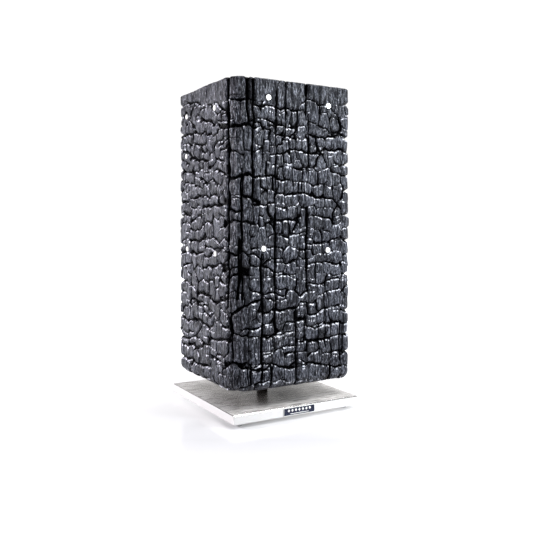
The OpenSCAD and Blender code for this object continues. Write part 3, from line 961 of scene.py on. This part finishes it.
def under_rings(rim, rim_shade):
    """Rings from the closed end of the nut's pocket, down the bore and out over the underside."""
    angle = np.arctan2(rim[:, 1], rim[:, 0])
    ray = np.stack([np.cos(angle), np.sin(angle)], -1)
    room = 0.2
    flange_r = (HOUSING_HIGH.x - HOUSING_LOW.x) / 2 + room
    barrel_r, pocket_r, flange_t, pocket_rise = 17.0 + room, 15.0, 4.0, 18.0
    low, high = BLOCK_LOW.z, HOUSING_HIGH.z
    steps = [(1.0, high + pocket_rise), (pocket_r, high + pocket_rise), (pocket_r, high),
             (barrel_r, high), (barrel_r, (low + high) / 2), (barrel_r, low + flange_t),
             (flange_r, low + flange_t), (flange_r, low)]
    rings = [np.column_stack([ray * r, np.full(len(ray), z)]) for r, z in steps]
    plain = np.array([0.1, 0.2, 0.4])[:, None] * np.ones(len(ray))
    shades = [plain for _ in steps]
    edge = rings[-1]
    for k in range(1, UNDER_RINGS):
        share = k / UNDER_RINGS
        rings.append(edge + (rim - edge) * share)
        shades.append(plain + (np.array(rim_shade) - plain) * share ** 4)
    return rings, shades


# ---------------- feet and badge

def lathe(name, points, centre, sides=48):
    """A turned solid about Z from (radius, height) points, in mm, closed at both ends."""
    angle = np.arange(sides) * 2 * math.pi / sides
    ray = np.stack([np.cos(angle), np.sin(angle)], -1)
    rings = [np.column_stack([ray * r + np.array(centre[:2]), np.full(sides, centre[2] + z)])
             for r, z in points]
    return ring_mesh(name, rings, {})


def make_bumper(name):
    """A domed silicone bumper in place of the plain foot."""
    low, high = (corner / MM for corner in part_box(name))
    radius, height = (high.x - low.x) / 2, high.z - low.z
    flat, dome, steps = 0.62, 0.72, 6    # the flat's share of the radius, the dome's of the height
    points = [(radius * 0.2, 0.0), (radius * flat, 0.0)]
    for k in range(1, steps + 1):
        angle = k / steps * math.pi / 2
        out = flat + (1 - flat) * math.sin(angle)
        points.append((radius * out, height * dome * (1 - math.cos(angle))))
    points += [(radius, height * 0.97), (radius * 0.97, height), (radius * 0.2, height)]
    centre = ((low.x + high.x) / 2, (low.y + high.y) / 2, low.z)
    bumper = lathe("bumper_" + name.removeprefix("foot_"), points, centre)
    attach(bumper, "base")
    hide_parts(name)
    return bumper


def bevelled_bar(name, low, high, bevel, material):
    """A bevelled bar between two corners, in mm."""
    bpy.ops.mesh.primitive_cube_add(size=1)
    bar = bpy.context.object
    bar.name = name
    size = [(b - a) * MM for a, b in zip(low, high)]
    for vertex in bar.data.vertices:
        vertex.co = [(c * d) + (a + b) / 2 * MM for c, d, a, b in zip(vertex.co, size, low, high)]
    rounding = bar.modifiers.new("bevel", "BEVEL")
    rounding.width, rounding.segments = bevel * MM, 3
    bar.data.materials.append(material)
    return bar


def make_badge(bright):
    """A dark enamel badge in a bright rim, with a row of lozenges over a thin rule."""
    low, high = (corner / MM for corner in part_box("badge"))
    face, back = low.y, high.y
    middle_x, middle_z = (low.x + high.x) / 2, (low.z + high.z) / 2
    sunk, rim = 0.3, 0.4                          # the field's depth and the rim's width
    rule_end, rule_low, rule_high = 8, 2.6, 2.1   # inset, and distances below the middle
    count, pitch, half, rise = 7, 4.5, 1.6, 1.0   # of the lozenges
    field = bevelled_bar("badge_field", (low.x + sunk, face + sunk, low.z + sunk),
                         (high.x - sunk, back, high.z - sunk), 0.1, enamel_material())
    bars = [((low.x, low.z), (high.x, low.z + rim)), ((low.x, high.z - rim), (high.x, high.z)),
            ((low.x, low.z + rim), (low.x + rim, high.z - rim)),
            ((high.x - rim, low.z + rim), (high.x, high.z - rim)),
            ((low.x + rule_end, middle_z - rule_low), (high.x - rule_end, middle_z - rule_high))]
    parts = [bevelled_bar("badge_rim", (a[0], face, a[1]), (b[0], back, b[1]), 0.12, bright)
             for a, b in bars]
    for k in range(count):
        x = middle_x + (k - (count - 1) / 2) * pitch
        lozenge = lathe("badge_lozenge", [(half, 0.0), (half, 0.3), (half * 0.8, 0.45)], (0, 0, 0), 4)
        lozenge.data.materials.append(bright)
        lozenge.rotation_euler = (math.pi / 2, 0, 0)
        lozenge.location = (x * MM, (face + 0.5) * MM, (middle_z + rise) * MM)
        parts.append(lozenge)
    bpy.context.view_layer.update()
    bpy.ops.object.select_all(action="DESELECT")
    for part in parts:
        part.select_set(True)
    bpy.context.view_layer.objects.active = parts[0]
    bpy.ops.object.convert(target="MESH")
    bpy.ops.object.join()
    trim = bpy.context.object
    trim.name = "badge_trim"
    for piece, finish in ((field, "badge_enamel"), (trim, "magnet_nickel")):
        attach(piece, "base")
    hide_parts("badge")


# ---------------- the object

def dress(names, material):
    """Gives CAD nodes a finish in place of their packed one."""
    for name in names:
        slots = NODES[name].material_slots
        if not slots:
            NODES[name].data.materials.append(material)
        for slot in slots:
            slot.material = material


def main():
    make_world()
    make_camera()
    make_lights()
    make_floor()
    block = make_block()
    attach(block, "block")
    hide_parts("charred_block")
    silicone = bumper_material()
    for name in FEET:
        make_bumper(name).data.materials.append(silicone)
    nickel = polished_material("nickel_plate", (0.9, 0.9, 0.89), 0.3, 0.75)
    make_badge(nickel)
    dress(["base_plate"], plate_material())
    # The spindle's steel gets a near-black base colour. This is painted shade, for the block's shadow over
    # it.
    dress(["spindle"], turned_material("turned_steel", (0.07, 0.06, 0.052), 0.25))
    dress(["swivel_housing"], turned_material("turned_aluminium", (0.72, 0.73, 0.74), 0.35))
    dress(["lower_bush", "upper_bush"], turned_material("sintered_bronze", (0.55, 0.36, 0.2), 0.45))
    dress(["bearing_cage"], turned_material("brass", (0.72, 0.54, 0.24), 0.3))
    bearing = polished_material("bearing_steel", (0.7, 0.71, 0.73), 0.1)
    dress(["lower_race", "upper_race", "bearing_balls"], bearing)
    screws = [name for name in NODES if "screw" in name]
    zinc = polished_material("bright_zinc", (0.68, 0.7, 0.73), 0.25)
    dress(screws + ["retaining_washer", "lock_nut"], zinc)
    dress(MAGNETS, nickel)


main()
